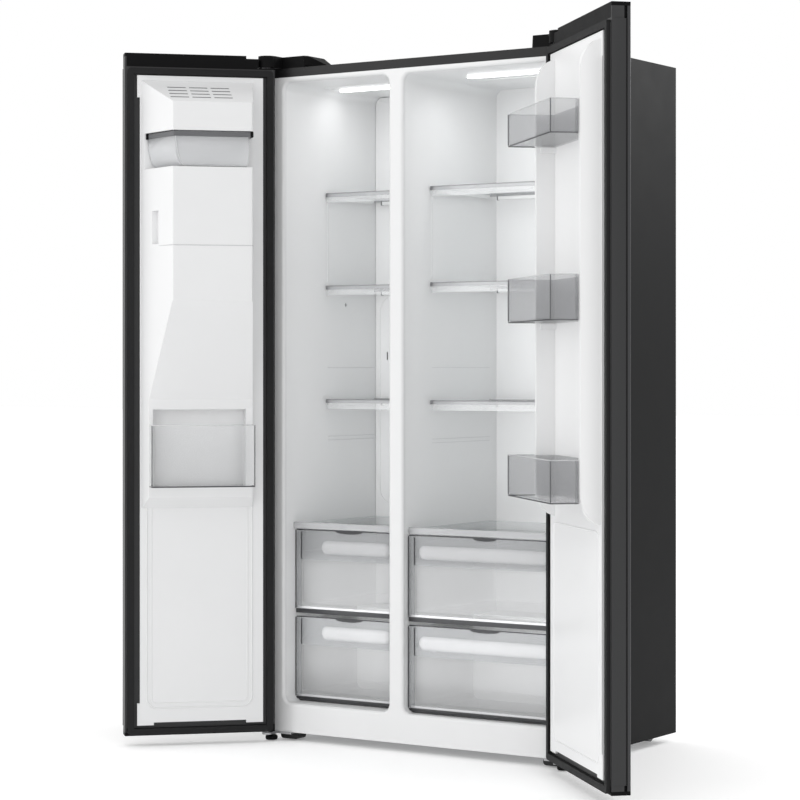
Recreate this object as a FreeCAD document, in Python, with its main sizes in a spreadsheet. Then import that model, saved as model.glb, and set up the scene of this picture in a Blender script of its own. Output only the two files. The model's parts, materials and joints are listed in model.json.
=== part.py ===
"""Side by side refrigerator: freezer on the left, refrigerator on the right, both doors standing open.

Frame: millimetres, +Z up, +X to the right of someone facing the doors, +Y to the back of the cabinet.
The origin is on the floor, at the middle of the cabinet's front plane.

Every sub-part is drawn with the doors shut. A part that belongs to a door is then turned about that door's
hinge line, so the model stands with its doors open. A door's own directions are: "run", from the cabinet's side
towards the door's free edge; "out", from the door's inner face towards its front; and "deep", from the door's
inner face into the cabinet.
"""

import FreeCAD, Part

import math
import os
import re
import sys

import Sketcher

doc = FreeCAD.newDocument("side_by_side_refrigerator")

# ---------------------------------------------------------------------------------------------- driving sizes

SIZES = {
    # cabinet
    "cabinet_width": 910,
    "cabinet_depth": 555,
    "cabinet_top": 1758,
    "cabinet_base": 21,
    "panel_sheet": 3,
    "front_plate": 12,
    "front_band": 23.5,
    "opening_top": 1721,
    "opening_base": 97,
    "side_wall": 47,
    "partition_left": -79,
    "partition_right": -35,
    "partition_round": 8,
    "liner_sheet": 3,
    "liner_round": 22,
    "freezer_back": 488,
    "fridge_back": 460,
    "step_front": 340,
    "step_top": 322,
    "machine_front": 370,
    "machine_top": 300,
    "machine_floor": 36,
    # shelves
    "glass_sheet": 4,
    "shelf_clearance": 3,
    "shelf_top_level": 1440,
    "shelf_middle_level": 1192,
    "shelf_low_level": 888,
    "freezer_shelf_front": 187,
    "fridge_shelf_front": 124,
    "shelf_trim_depth": 10,
    "shelf_trim_height": 10,
    "support_width": 9,
    "support_height": 10,
    "duct_face": 430,
    "cover_top": 568,
    "cover_base": 552,
    "freezer_cover_front": 40,
    "fridge_cover_front": 22,
    # drawers
    "drawer_top": 549,
    "drawer_split": 326,
    "drawer_lift": 12,
    "drawer_base": 107,
    "drawer_front_clearance": 5,
    "drawer_side_clearance": 12,
    "drawer_front_sheet": 9,
    "drawer_sheet": 3,
    "freezer_drawer_front": 52,
    "fridge_drawer_front": 24,
    "upper_drawer_back": 422,
    "lower_drawer_back": 330,
    "runner_drop": 60,
    "runner_height": 8,
    # doors
    "door_gap": 12.3,
    "door_base": 25,
    "door_top": 1786,
    "cap_seat": 1751,
    "cap_low": 45,
    "cap_lip": 9,
    "hinge_notch": 44,
    "hinge_notch_top": 1755,
    "hinge_step": 76,
    "hinge_step_top": 1778.5,
    "edge_strip": 4,
    "freezer_door_width": 392,
    "fridge_door_width": 512,
    "door_core": 36.7,
    "door_skin": 8.3,
    "grip_width": 7.2,
    "grip_depth": 20,
    "hinge_inset": 17.2,
    "hinge_forward": 32.1,
    "freezer_door_turn": 134,
    "fridge_door_turn": 135.5,
    "seal_width": 16,
    "seal_depth": 10,
    "seal_inset": 7,
    "seal_low": 28,
    "seal_high": 1747,
    "door_liner_inset": 33,
    "freezer_liner_reach": 354,
    "fridge_liner_reach": 457,
    "door_liner_low": 59,
    "door_liner_high": 1721,
    "liner_ear": 7,
    "liner_ear_height": 50,
    "liner_plate": 6,
    # fridge door dykes and bins
    "dyke_depth": 51,
    "dyke_low": 620,
    "dyke_high": 1712,
    "dyke_round": 70,
    "dyke_slope": 17,
    "dyke_crest": 14,
    "bin_front": 120,
    "bin_sheet": 3,
    "bin_wing": 15,
    "upper_bin_low": 1500,
    "upper_bin_high": 1578,
    "middle_bin_low": 1080,
    "middle_bin_high": 1184,
    "lower_bin_low": 668,
    "lower_bin_high": 766,
    # freezer door housing
    "housing_depth": 145,
    "housing_flank": 0.46,
    "housing_hinge_run": 82,
    "housing_low": 607,
    "housing_shelf": 640,
    "housing_shelf_depth": 42,
    "housing_bend_low": 893,
    "housing_bend_high": 1145,
    "housing_seam": 1285,
    "housing_face_top": 1649,
    "housing_top": 1715,
    "bucket_low": 1484,
    "bucket_high": 1573,
    "bucket_back": 22,
    "bucket_sheet": 3,
    "door_bin_low": 668,
    "door_bin_high": 827,
    "door_bin_front": 94,
    "door_bin_near_wing": 20,
    "door_bin_far_wing": 13,
    # dispenser
    "niche_middle": 196,
    "niche_width": 200,
    "niche_low": 930,
    "niche_high": 1230,
    "niche_depth": 45,
    "panel_sheet_front": 4,
    "panel_margin": 12,
    "panel_high": 1400,
    "chute_radius": 18,
    "chute_depth": 26,
    "paddle_width": 52,
    "paddle_pivot": 1188,
    "paddle_drop": 140,
    "paddle_deep": 13,
    "pin_fit": 0.05,
    # hinges, feet and rollers
    "hinge_pin": 6,
    "hinge_plate": 4,
    "hinge_cover_high": 1788,
    "foot_radius": 16,
    "foot_stem": 5,
    "foot_height": 12,
    "rear_roller": 17,
    "roller_width": 18,
    "axle_radius": 3,
    "rear_roller_back": 500,
    # machinery
    "machine_middle": 462,
    "compressor_middle": -230,
}

sheet = doc.addObject("Spreadsheet::Sheet", "sizes")
for row, (alias, size) in enumerate(SIZES.items(), start=1):
    sheet.set(f"A{row}", alias)
    sheet.set(f"B{row}", str(size))
    sheet.setAlias(f"B{row}", alias)
doc.recompute()

FUNCTIONS = {"abs", "min", "max"}
PARTS = {}

# --------------------------------------------------------------------------------------------- building blocks


def bound(text):
    """A formula in the sheet's names, as FreeCAD reads it."""
    def named(word):
        return word.group() if word.group() in FUNCTIONS else "sizes." + word.group()

    return re.sub(r"[a-z][a-z_0-9]*", named, str(text))


def bind(obj, **formulas):
    for prop, text in formulas.items():
        obj.setExpression(prop.replace("__", "."), bound(text))


def move(obj, x, y, z):
    bind(obj, Placement__Base__x=x, Placement__Base__y=y, Placement__Base__z=z)


def box(x, y, z):
    """A block between two values on each axis, given in either order."""
    obj = doc.addObject("Part::Box", "Block")
    length, width, height = (f"abs(({high}) - ({low}))" for low, high in (x, y, z))
    bind(obj, Length=length, Width=width, Height=height)
    move(obj, f"min({x[0]}; {x[1]})", f"min({y[0]}; {y[1]})", f"min({z[0]}; {z[1]})")
    return obj


AXES = {
    "x": FreeCAD.Rotation(FreeCAD.Vector(0, 1, 0), 90),
    "y": FreeCAD.Rotation(FreeCAD.Vector(1, 0, 0), -90),
    "z": FreeCAD.Rotation(),
}


def rod(axis, start, radius, length):
    """A cylinder from a start point along an axis."""
    obj = doc.addObject("Part::Cylinder", "Rod")
    obj.Placement = FreeCAD.Placement(FreeCAD.Vector(), AXES[axis])
    bind(obj, Radius=radius, Height=length)
    move(obj, *start)
    return obj


def group(shapes):
    obj = doc.addObject("Part::Compound", "Group")
    obj.Links = shapes
    return obj


def fuse(*shapes):
    obj = doc.addObject("Part::MultiFuse", "Joined")
    obj.Shapes = list(shapes)
    obj.Refine = True
    return obj


def cut(base, *tools):
    obj = doc.addObject("Part::Cut", "Cut")
    obj.Base = base
    obj.Tool = tools[0] if len(tools) == 1 else group(list(tools))
    obj.Refine = True
    return obj


def common(one, other):
    obj = doc.addObject("Part::Common", "Shared")
    obj.Base = one
    obj.Tool = other
    obj.Refine = True
    return obj


def rounded(base, radius, chosen, second=None):
    """A fillet on every edge that the test picks, or a chamfer of two sizes where a second is given."""
    doc.recompute()
    obj = doc.addObject("Part::Fillet" if second is None else "Part::Chamfer", "Eased")
    obj.Base = base
    first = value(radius)
    obj.Edges = [
        (i, first, first if second is None else value(second))
        for i, edge in enumerate(base.Shape.Edges, start=1)
        if chosen(edge.BoundBox, base.Shape.BoundBox)
    ]
    return obj


def value(alias):
    return sheet.get(alias) if isinstance(alias, str) else alias


def along(axis):
    """Picks the straight edges that run along an axis."""

    def test(bounds, whole):
        lengths = {"x": bounds.XLength, "y": bounds.YLength, "z": bounds.ZLength}
        others = [v for k, v in lengths.items() if k != axis]
        return lengths[axis] > 1 and max(others) < 0.01

    return test


def top_corners(bounds, whole):
    """Picks the two upper corner edges that run from front to back."""
    return bounds.ZMin > whole.ZMax - 0.01 and bounds.XLength < 0.01


def low_sides(bounds, whole):
    """Picks the two lowest edges that run from front to back."""
    return bounds.ZMax < whole.ZMin + 0.01 and bounds.YLength > 50


def outline(body, name, plane, points, offset="0"):
    """A closed sketch through the points, each one held by its two distances from the origin."""
    sketch = body.newObject("Sketcher::SketchObject", name)
    face = next(f for f in body.Origin.OriginFeatures if f.Role == plane)
    sketch.AttachmentSupport = [(face, "")]
    sketch.MapMode = "FlatFace"
    sketch.setExpression("AttachmentOffset.Base.z", bound(offset))
    count = len(points)
    start = [FreeCAD.Vector(100, 0, 0), FreeCAD.Vector(0, 100, 0)]
    turn = [FreeCAD.Rotation(FreeCAD.Vector(0, 0, 1), 360 * i / count) for i in range(count)]
    corners = [r.multVec(start[0]) for r in turn]
    for i in range(count):
        sketch.addGeometry(Part.LineSegment(corners[i], corners[(i + 1) % count]), False)
    for i in range(count):
        sketch.addConstraint(Sketcher.Constraint("Coincident", i, 2, (i + 1) % count, 1))
    for i, (across, up) in enumerate(points):
        for kind, at, text in (("DistanceX", corners[i].x, across), ("DistanceY", corners[i].y, up)):
            index = sketch.addConstraint(Sketcher.Constraint(kind, -1, 1, i, 1, at))
            sketch.setExpression(f"Constraints[{index}]", bound(text))
    return sketch


def prism(name, plane, points, length, offset="0"):
    """A body padded from one outline."""
    body = doc.addObject("PartDesign::Body", name)
    sketch = outline(body, name + "_outline", plane, points, offset)
    pad = body.newObject("PartDesign::Pad", name + "_pad")
    pad.Profile = sketch
    bind(pad, Length=length)
    body.Tip = pad
    return body


def turned(name, points, place):
    """A body turned about its own upright axis from a profile of (radius, height) points."""
    body = doc.addObject("PartDesign::Body", name)
    sketch = outline(body, name + "_profile", "XZ_Plane", points)
    turn = body.newObject("PartDesign::Revolution", name + "_turn")
    turn.Profile = sketch
    turn.ReferenceAxis = (sketch, ["V_Axis"])
    turn.Angle = 360
    body.Tip = turn
    body.Placement = place
    return body


def keep(name, obj):
    obj.Label = name
    PARTS[name] = obj
    return obj


HALF = "cabinet_width / 2"
INSIDE = "(cabinet_width / 2 - panel_sheet)"
FREEZER = ("side_wall - cabinet_width / 2", "partition_left")
FRIDGE = ("partition_right", "cabinet_width / 2 - side_wall")


def grown(span, by):
    return f"{span[0]} - ({by})", f"{span[1]} + ({by})"


# ------------------------------------------------------------------------------------------------- the cabinet


def steel_panels():
    heights = ("cabinet_base", "cabinet_top - panel_sheet")
    sides = [
        box((f"{sign} * {HALF}", f"{sign} * {INSIDE}"), ("0", "cabinet_depth"), heights) for sign in ("-1", "1")
    ]
    keep("side_panels", group(sides))
    keep("top_panel", box((f"-{HALF}", HALF), ("front_plate", "cabinet_depth"), (heights[1], "cabinet_top")))
    inner = (f"-{INSIDE}", INSIDE)
    rear = ("cabinet_depth - panel_sheet", "cabinet_depth")
    keep("back_panel", box(inner, rear, ("machine_top", heights[1])))
    keep("top_band", box(inner, ("0", "front_plate"), ("cabinet_top - front_band", "cabinet_top")))
    front = box(inner, ("front_plate", "machine_front"), ("cabinet_base", "cabinet_base + panel_sheet"))
    riser = box(inner, ("machine_front", "machine_front + panel_sheet"),
                ("cabinet_base", "machine_floor + panel_sheet"))
    back = box(inner, ("machine_front", "cabinet_depth - panel_sheet"),
               ("machine_floor", "machine_floor + panel_sheet"))
    upright = box(inner, ("machine_front", "machine_front + 2"), ("machine_floor", "machine_top"))
    ceiling = box(inner, ("machine_front", "cabinet_depth - panel_sheet"), ("machine_top - 2", "machine_top"))
    keep("base_pan", fuse(front, riser, back, upright, ceiling))
    cover = box(inner, ("cabinet_depth - panel_sheet", "cabinet_depth"), ("machine_floor", "machine_top"))
    slots = [
        box((f"{left}", f"{left} + 150"), ("cabinet_depth - 9", "cabinet_depth + 9"), (f"{low}", f"{low} + 8"))
        for left in (-400, -200, 50, 250)
        for low in range(80, 261, 30)
    ]
    keep("machine_room_cover", cut(cover, *slots))


def opening(span, depths, inset):
    """A compartment's clear shape, grown all round by an inset, with its long edges rounded."""
    heights = (f"opening_base - ({inset})", f"opening_top + ({inset})")
    return rounded(box(grown(span, inset), depths, heights), "liner_round", along("y"))


def front_frame():
    plate = box((f"-{INSIDE}", INSIDE), ("0", "front_plate"), ("cabinet_base", "cabinet_top - front_band"))
    holes = [opening(span, ("-9", "front_plate + 9"), "0") for span in (FREEZER, FRIDGE)]
    frame = cut(plate, *holes)
    edge = value("cabinet_width") / 2 - value("panel_sheet") - 1

    def mouth(bounds, whole):
        inside = max(abs(bounds.XMin), abs(bounds.XMax)) < edge
        return bounds.YMax < 0.01 and inside and bounds.ZMin > value("cabinet_base") + 1

    keep("front_frame", rounded(frame, "partition_round", mouth))


def compartment(span, back, inset, front="front_plate"):
    """A compartment, stepped to clear the machine room, and grown by an inset on all sides but the front."""
    whole = opening(span, (front, f"{back} + ({inset})"), inset)
    step = box(grown(span, "60"), (f"step_front + ({inset})", f"{back} + 60"),
               ("opening_base - 60", f"step_top - ({inset})"))
    return cut(whole, step)


SHELF_LEVELS = ("shelf_top_level", "shelf_middle_level", "shelf_low_level")


def supports(span, front, level, back):
    """The two ribs, one on each side wall, that a shelf rests on."""
    top = f"{level} - glass_sheet"
    sides = ((span[0], f"{span[0]} + support_width"), (f"{span[1]} - support_width", span[1]))
    return [box(side, (f"{front} + 20", f"{back} - 20"), (f"{top} - support_height", top)) for side in sides]


def liner(name, span, back, shelf_front, cover_front):
    shell = cut(compartment(span, back, "liner_sheet"), compartment(span, back, "0", "front_plate - 9"))
    ribs = [rib for level in SHELF_LEVELS for rib in supports(span, shelf_front, level, "duct_face")]
    ribs += supports(span, cover_front, "cover_top - 3", "duct_face")
    rows = (("drawer_top", "upper_drawer_back"), ("drawer_split - drawer_lift / 2", "lower_drawer_back"))
    for drop, rear in rows:
        ribs += supports(span, "freezer_drawer_front", f"{drop} - runner_drop + glass_sheet", rear)
    keep(name, fuse(shell, *ribs))


def foam():
    block = box((f"-{INSIDE}", INSIDE), ("front_plate", "cabinet_depth - panel_sheet"),
                ("cabinet_base + panel_sheet", "cabinet_top - panel_sheet"))
    room = box((f"-{HALF}", HALF), ("machine_front", "cabinet_depth"), ("0", "machine_top"))
    freezer = compartment(FREEZER, "freezer_back", "liner_sheet", "front_plate - 9")
    fridge = compartment(FRIDGE, "fridge_back", "liner_sheet", "front_plate - 9")
    keep("insulation_foam", cut(block, room, freezer, fridge))


def vents(centres, width, levels, depths):
    return [
        box((f"{c} - {width} / 2", f"{c} + {width} / 2"), depths, (f"{z} + {k * 14}", f"{z} + {k * 14} + 6"))
        for c in centres
        for z in levels
        for k in range(3)
    ]


def ducts():
    """The freezer's evaporator cover, and the fridge's air column, each with its outlet slots."""
    plate = box(grown(FREEZER, "-1"), ("duct_face", "duct_face + 3"), ("step_top + 1", "opening_top - 1"))
    face = rounded(plate, "liner_round", top_corners)
    levels = [f"{level} + 40" for level in SHELF_LEVELS]
    freezer_middle = "(side_wall - cabinet_width / 2 + partition_left) / 2"
    centres = [f"{freezer_middle} - 60", f"{freezer_middle} + 60"]
    holes = vents(centres, 80, levels, ("duct_face - 5", "duct_face + 9"))
    returns = vents([freezer_middle], 200, ["step_top + 60"], ("duct_face - 5", "duct_face + 9"))
    keep("freezer_duct_panel", cut(face, *holes, *returns))
    middle = "(partition_right + cabinet_width / 2 - side_wall) / 2"
    column = box((f"{middle} - 70", f"{middle} + 70"), ("fridge_back - 9", "fridge_back - 0.5"),
                 ("cover_top + 60", "opening_top - 40"))
    eased = rounded(column, 4, lambda bounds, whole: along("z")(bounds, whole) and bounds.YMax < whole.YMax - 2)
    holes = vents([f"{middle} - 38", f"{middle} + 38"], 44, levels, ("fridge_back - 20", "fridge_back + 5"))
    keep("fridge_duct_panel", cut(eased, *holes))


def shelf(name, span, front, level):
    inner = grown(span, "-shelf_clearance")
    glass = box(inner, (f"{front} + 3", "duct_face - 6"), (f"{level} - glass_sheet", level))
    keep(name, glass)
    lips = []
    for edge in ((front, f"{front} + shelf_trim_depth"), ("duct_face - 12", "duct_face - 2")):
        bar = box(inner, edge, (f"{level} - shelf_trim_height + 2", f"{level} + 2"))
        lips.append(cut(bar, box(inner, (f"{front} + 3", "duct_face - 6"), (f"{level} - glass_sheet", level))))
    return lips


def shelves():
    trims = []
    covers = []
    for room, span, front, cover in (
        ("freezer", FREEZER, "freezer_shelf_front", "freezer_cover_front"),
        ("fridge", FRIDGE, "fridge_shelf_front", "fridge_cover_front"),
    ):
        for number, level in enumerate(SHELF_LEVELS, start=1):
            trims += shelf(f"{room}_shelf_{number}", span, front, level)
        inner = grown(span, "-shelf_clearance")
        plate = box(inner, (f"{cover} + 3", "duct_face - 6"), ("cover_top - 3 - glass_sheet", "cover_top - 3"))
        covers.append(plate)
        lip = box(inner, (cover, f"{cover} + shelf_trim_depth"), ("cover_base", "cover_top"))
        slot = box(inner, (f"{cover} + 3", "duct_face - 6"), ("cover_top - 3 - glass_sheet", "cover_top - 3"))
        trims.append(cut(lip, slot))
    keep("drawer_covers", group(covers))
    keep("shelf_trims", group(trims))


def light_bars():
    """The two lights that are let into the ceilings."""
    bars = []
    for span, width, front in ((FREEZER, "280", "222"), (FRIDGE, "240", "147")):
        middle = f"({span[0]} + {span[1]}) / 2"
        across = (f"{middle} - {width} / 2", f"{middle} + {width} / 2")
        bar = box(across, (front, f"{front} + 12"), ("opening_top - 5", "opening_top"))
        bars.append(rounded(bar, 2, along("y")))
    keep("light_bars", group(bars))


# --------------------------------------------------------------------------------------------------- drawers


def drawer(name, span, front, back, low, high):
    """A drawer: a clear tray with a runner strip down each side and a taller front plate."""
    outer = grown(span, "-drawer_side_clearance")
    inner = grown(outer, "-drawer_sheet")
    depths = (f"{front} + drawer_front_sheet", back)
    lift = f"{low} + drawer_lift"
    top = f"{high} - 6"
    solid = rounded(box(outer, depths, (lift, top)), 10, low_sides)
    within = (f"{depths[0]} + drawer_sheet", f"{back} - drawer_sheet")
    hollow = rounded(box(inner, within, (f"{lift} + drawer_sheet", f"{high} + 9")), 8, low_sides)
    tray = cut(solid, hollow)
    rail = (f"{high} - runner_drop + 0.5", f"{high} - runner_drop + 0.5 + runner_height")
    strips = [
        box((f"{span[0]} + 2", f"{span[0]} + drawer_side_clearance"), (f"{front} + 30", back), rail),
        box((f"{span[1]} - drawer_side_clearance", f"{span[1]} - 2"), (f"{front} + 30", back), rail),
    ]
    plate = box(grown(span, "-drawer_front_clearance"), (front, f"{front} + drawer_front_sheet"), (low, high))
    eased = rounded(plate, 6, along("y"))
    middle = f"({span[0]} + {span[1]}) / 2"
    grip = rod("y", (middle, f"{front} - 9", f"{high} + 62"), "76", "drawer_front_sheet + 18")
    keep(name, fuse(tray, *strips, cut(eased, grip)))


def drawers():
    for room, span in (("freezer", FREEZER), ("fridge", FRIDGE)):
        front, low = f"{room}_drawer_front", "drawer_split + drawer_lift"
        drawer(f"{room}_upper_drawer", span, front, "upper_drawer_back", low, "drawer_top")
        drawer(f"{room}_lower_drawer", span, front, "lower_drawer_back", "drawer_base",
               "drawer_split - drawer_lift / 2")


# ----------------------------------------------------------------------------------------------------- doors


class Door:
    """One door's own directions, seen from the shut position."""

    def __init__(self, name, sign, width, reach, turn):
        self.name, self.sign, self.width, self.reach = name, sign, width, reach
        off_centre = value("cabinet_width") / 2 - value("hinge_inset")
        pivot = FreeCAD.Vector(sign * off_centre, -value("hinge_forward"), 0)
        spin = FreeCAD.Rotation(FreeCAD.Vector(0, 0, 1), sign * value(turn))
        self.swing = FreeCAD.Placement(FreeCAD.Vector(), spin, pivot)

    def run(self, distance):
        return f"{self.sign} * ({HALF} - ({distance}))"

    def across(self, near, far):
        return self.run(near), self.run(far)

    def pivot(self):
        return self.run("hinge_inset"), "-hinge_forward"

    def keep(self, name, obj):
        doc.recompute()
        obj.Placement = self.swing.multiply(obj.Placement)
        keep(name, obj)
        return obj


def out(distance):
    return f"-door_gap - ({distance})"


def deep(distance):
    return f"({distance}) - door_gap"


def hinge_bore(door, base, top):
    x, y = door.pivot()
    return rod("z", (x, y, base), "hinge_pin + pin_fit", f"({top}) - ({base})")


def door_core(door, openings=(), blocks=()):
    """The foam-filled middle of a door, with the upright grip groove let into its free edge.

    A pierced core is made of the blocks that stand round its opening.
    """
    slab = box(door.across("0", door.width), (out("0"), out("door_core")), ("cap_low", "cap_seat"))

    def inner_edges(bounds, whole):
        return along("z")(bounds, whole) and bounds.YMin > whole.YMax - 1

    eased = fuse(rounded(slab, 4, inner_edges), edge_strip(door))
    groove = box(door.across(f"{door.width} - grip_depth", f"{door.width} + 9"),
                 (out("door_core - grip_width"), out("door_core + 9")), ("0", "door_top"))
    bores = [hinge_bore(door, "0", "cap_low + 20"), hinge_bore(door, "cap_seat - 25", "door_top")]
    core = cut(eased, groove, *bores, *openings)
    if blocks:
        core = group([common(core, block) for block in blocks])
    door.keep(f"{door.name}_door_core", core)


def edge_strip(door):
    """The strip down a door's free edge, which also covers the ends of the caps."""
    return box(door.across(f"{door.width} - edge_strip", door.width), (out("0"), out("door_core")),
               ("door_base + cap_lip", "door_top - cap_lip"))


def door_skin(door, openings=()):
    plate = box(door.across("0", door.width), (out("door_core"), out("door_core + door_skin")),
                ("door_base + cap_lip", "door_top - cap_lip"))
    eased = rounded(plate, 3, lambda bounds, whole: along("z")(bounds, whole) and bounds.YMax < whole.YMin + 1)
    notch = box(door.across("-9", "hinge_notch"), (out("0"), out("99")), ("hinge_notch_top", "door_top + 9"))
    door.keep(f"{door.name}_door_skin", cut(eased, notch, *openings))


def door_caps(door):
    """The black caps that close a door's two ends; the upper one is cut away round the hinge."""
    thickness = "door_core + door_skin"
    caps = []
    for low, high, lip in (
        ("cap_seat", "door_top", ("0", "door_top - cap_lip")),
        ("door_base", "cap_low", ("door_base + cap_lip", "door_top")),
    ):
        cap = box(door.across("0", door.width), (out("0"), out(thickness)), (low, high))
        eased = rounded(cap, 3, along("z"))
        tools = [box(door.across("-9", f"{door.width} + 9"), (out("door_core"), out("99")), lip)]
        for reach in ("hinge_notch", "hinge_step"):
            tools.append(box(door.across("-9", reach), (out("-9"), out("99")), (f"{reach}_top", "door_top + 9")))
        tools.append(edge_strip(door))
        tools.append(hinge_bore(door, "0", "door_top"))
        caps.append(cut(eased, *tools))
    door.keep(f"{door.name}_door_caps", group(caps))


def door_seal(door):
    """The magnetic seal: a soft frame round the liner that meets the cabinet's front."""
    near, far = "seal_inset", f"{door.width} - seal_inset"
    depths = (deep("0"), deep("seal_depth"))
    outer = rounded(box(door.across(near, far), depths, ("seal_low", "seal_high")), 8, along("y"))
    inner = box(door.across(f"{near} + seal_width", f"{far} - seal_width"), (deep("-9"), deep("99")),
                ("seal_low + seal_width", "seal_high - seal_width"))
    door.keep(f"{door.name}_door_seal", cut(outer, inner))


def liner_base(door):
    """The flat plate of a door's liner, a little wider at its four corners."""
    depths = (deep("0"), deep("liner_plate"))
    plate = box(door.across("door_liner_inset", door.reach), depths, ("door_liner_low", "door_liner_high"))
    ears = [
        box(door.across("door_liner_inset", f"{door.reach} + liner_ear"), depths, span)
        for span in (
            ("door_liner_low - liner_ear", "door_liner_low + liner_ear_height"),
            ("door_liner_high - liner_ear_height", "door_liner_high + liner_ear"),
        )
    ]
    trim = box(door.across("door_liner_inset + 44", f"{door.reach} - 36"), (deep("-9"), deep("99")),
               ("door_liner_low - liner_ear - 9", "door_liner_low"))
    return cut(fuse(plate, *ears), trim)


def fridge_liner(door):
    """A plate with two upright dykes that the bins hang between; each dyke's ends are rounded off."""
    hinge = [("side_wall + 1", "0"), ("side_wall + 9", "dyke_depth"), ("side_wall + 9 + dyke_crest", "dyke_depth"),
             ("side_wall + 13 + dyke_crest", "0")]
    free = [("fridge_liner_reach - dyke_slope - dyke_crest - 4", "0"),
            ("fridge_liner_reach - dyke_slope - dyke_crest", "dyke_depth"),
            ("fridge_liner_reach - dyke_slope", "dyke_depth"), ("fridge_liner_reach", "0")]
    low, high, steps = "dyke_low", "dyke_high", 8
    arc = [(math.sin(math.pi / 2 * k / steps), 1 - math.cos(math.pi / 2 * k / steps)) for k in range(steps + 1)]
    side = [(deep(f"dyke_depth * {rise:.4f}"), f"{low} + dyke_round * {step:.4f}") for rise, step in arc]
    side += [
        (deep(f"dyke_depth * {rise:.4f}"), f"{high} - dyke_round * {step:.4f}") for rise, step in reversed(arc)
    ]
    dykes = []
    for name, plan in (("hinge_dyke", hinge), ("free_dyke", free)):
        points = [(door.run(across), deep(rise)) for across, rise in plan]
        bar = prism(name, "XY_Plane", points, f"{high} - {low}", low)
        ends = prism(name + "_ends", "YZ_Plane", side, door.width, door.run(door.width))
        dykes.append(common(bar, ends))
    lugs = [
        box(door.across(near, far), (deep("0"), deep("dyke_depth - 8")),
            (f"{shelf}_bin_low - 14", f"{shelf}_bin_low - 0.5"))
        for shelf in ("upper", "middle", "lower")
        for near, far in (
            ("side_wall + 10 + dyke_crest", "side_wall + 24 + dyke_crest"),
            ("fridge_liner_reach - dyke_slope - dyke_crest - 15", "fridge_liner_reach - dyke_slope - dyke_crest"),
        )
    ]
    door.keep("fridge_door_liner", fuse(liner_base(door), *dykes, *lugs))


def bin_box(door, near, far, depths, heights, inset="0", rise="0"):
    across = door.across(f"{near} + {inset}", f"{far} - ({inset})")
    return box(across, (f"{depths[0]} + {inset}", f"{depths[1]} - ({inset})"),
               (f"{heights[0]} + {inset}", f"{heights[1]} + {rise}"))


def lower_front(bounds, whole):
    """Picks the lower edge along a bin's front."""
    return bounds.ZMax < whole.ZMin + 0.01 and bounds.YMin > whole.YMax - 0.01


def bin_tray(door, name, near, far, depths, heights, step, wings):
    """An open bin with a rounded lower front; wings widen it ahead of a step in the liner behind it."""
    solid = rounded(bin_box(door, near, far, depths, heights), 12, lower_front)
    hollow = rounded(bin_box(door, near, far, depths, heights, "bin_sheet", "99"), 9, lower_front)
    wide = (f"{near} - ({wings[0]})", f"{far} + {wings[1]}")
    ahead = (deep(f"{step} + 2"), depths[1])
    solid = fuse(solid, rounded(bin_box(door, *wide, ahead, heights), 12, lower_front))
    hollow = fuse(hollow, rounded(bin_box(door, *wide, ahead, heights, "bin_sheet", "99"), 9, lower_front))
    door.keep(name, cut(solid, hollow))


def fridge_bins(door):
    near = "side_wall + 15 + dyke_crest"
    far = f"{door.reach} - dyke_slope - dyke_crest - 6"
    for name in ("upper", "middle", "lower"):
        bin_tray(door, f"fridge_{name}_bin", near, far, (deep("liner_plate + 1"), deep("bin_front")),
                 (f"{name}_bin_low", f"{name}_bin_high"), "dyke_depth", ("bin_wing", "bin_wing"))


def flank(depth):
    """How far the housing's slanted side has drawn in at a depth."""
    return f"freezer_liner_reach - housing_flank * ({depth})"


def housing(door, name, low, high, side):
    """A block with the housing's plan shape, cut to a side profile of (depth, height) points."""
    plan = [
        (door.run(flank("0")), deep("0")),
        (door.run(flank("housing_depth")), deep("housing_depth")),
        (door.run("housing_hinge_run"), deep("housing_depth")),
        (door.run("housing_hinge_run - 22"), deep("0")),
    ]
    block = prism(name + "_plan", "XY_Plane", plan, f"{high} - ({low})", low)
    profile = [(deep(depth), height) for depth, height in side]
    cross = prism(name + "_side", "YZ_Plane", profile, "500", door.run("0"))
    shape = common(block, cross)
    return rounded(shape, 5, lambda b, w: b.YMin > w.YMax - 0.5 and b.ZLength > 60)


def dispenser_housing(door):
    """The freezer door's liner: its plate and the lower part of the ice and water housing."""
    side = [
        ("0", "housing_low"),
        ("housing_shelf_depth", "housing_shelf"),
        ("housing_shelf_depth", "housing_bend_low"),
        ("housing_depth", "housing_bend_high"),
        ("housing_depth", "housing_seam"),
        ("0", "housing_seam"),
    ]
    lump = housing(door, "dispenser_housing", "housing_low", "housing_seam", side)
    recess = box(door.across("housing_hinge_run + 2", f"{flank('housing_shelf_depth')} - 10"),
                 (deep("liner_plate + 2"), deep("99")), ("door_bin_low - 0.5", "door_bin_high + 40"))
    niche = niche_block(door, "0")
    chute = rod("z", (door.run("niche_middle"), deep("chute_depth"), "niche_high - 9"), "chute_radius", "99")
    base = fuse(liner_base(door), lump)
    door.keep("freezer_door_liner", cut(base, recess, niche, chute))


def niche_block(door, inset, near=None):
    half = f"niche_width / 2 - ({inset})"
    across = door.across(f"niche_middle - ({half})", f"niche_middle + ({half})")
    depths = (near or out("99"), deep(f"niche_depth - ({inset})"))
    return box(across, depths, (f"niche_low + ({inset})", f"niche_high - ({inset})"))


def blocks_round_niche(door):
    """Four boxes that divide the door round its niche, a hair apart."""
    near, far = "niche_middle - niche_width / 2", "niche_middle + niche_width / 2"
    level = ("niche_low", "niche_high")
    depths = (out("-9"), out("99"))
    whole = door.across("-9", f"{door.width} + 9")
    return [
        box(whole, depths, ("0", "niche_low - 0.1")),
        box(whole, depths, ("niche_high + 0.1", "door_top")),
        box(door.across("-9", near), depths, level),
        box(door.across(far, f"{door.width} + 9"), depths, level),
    ]


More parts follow.
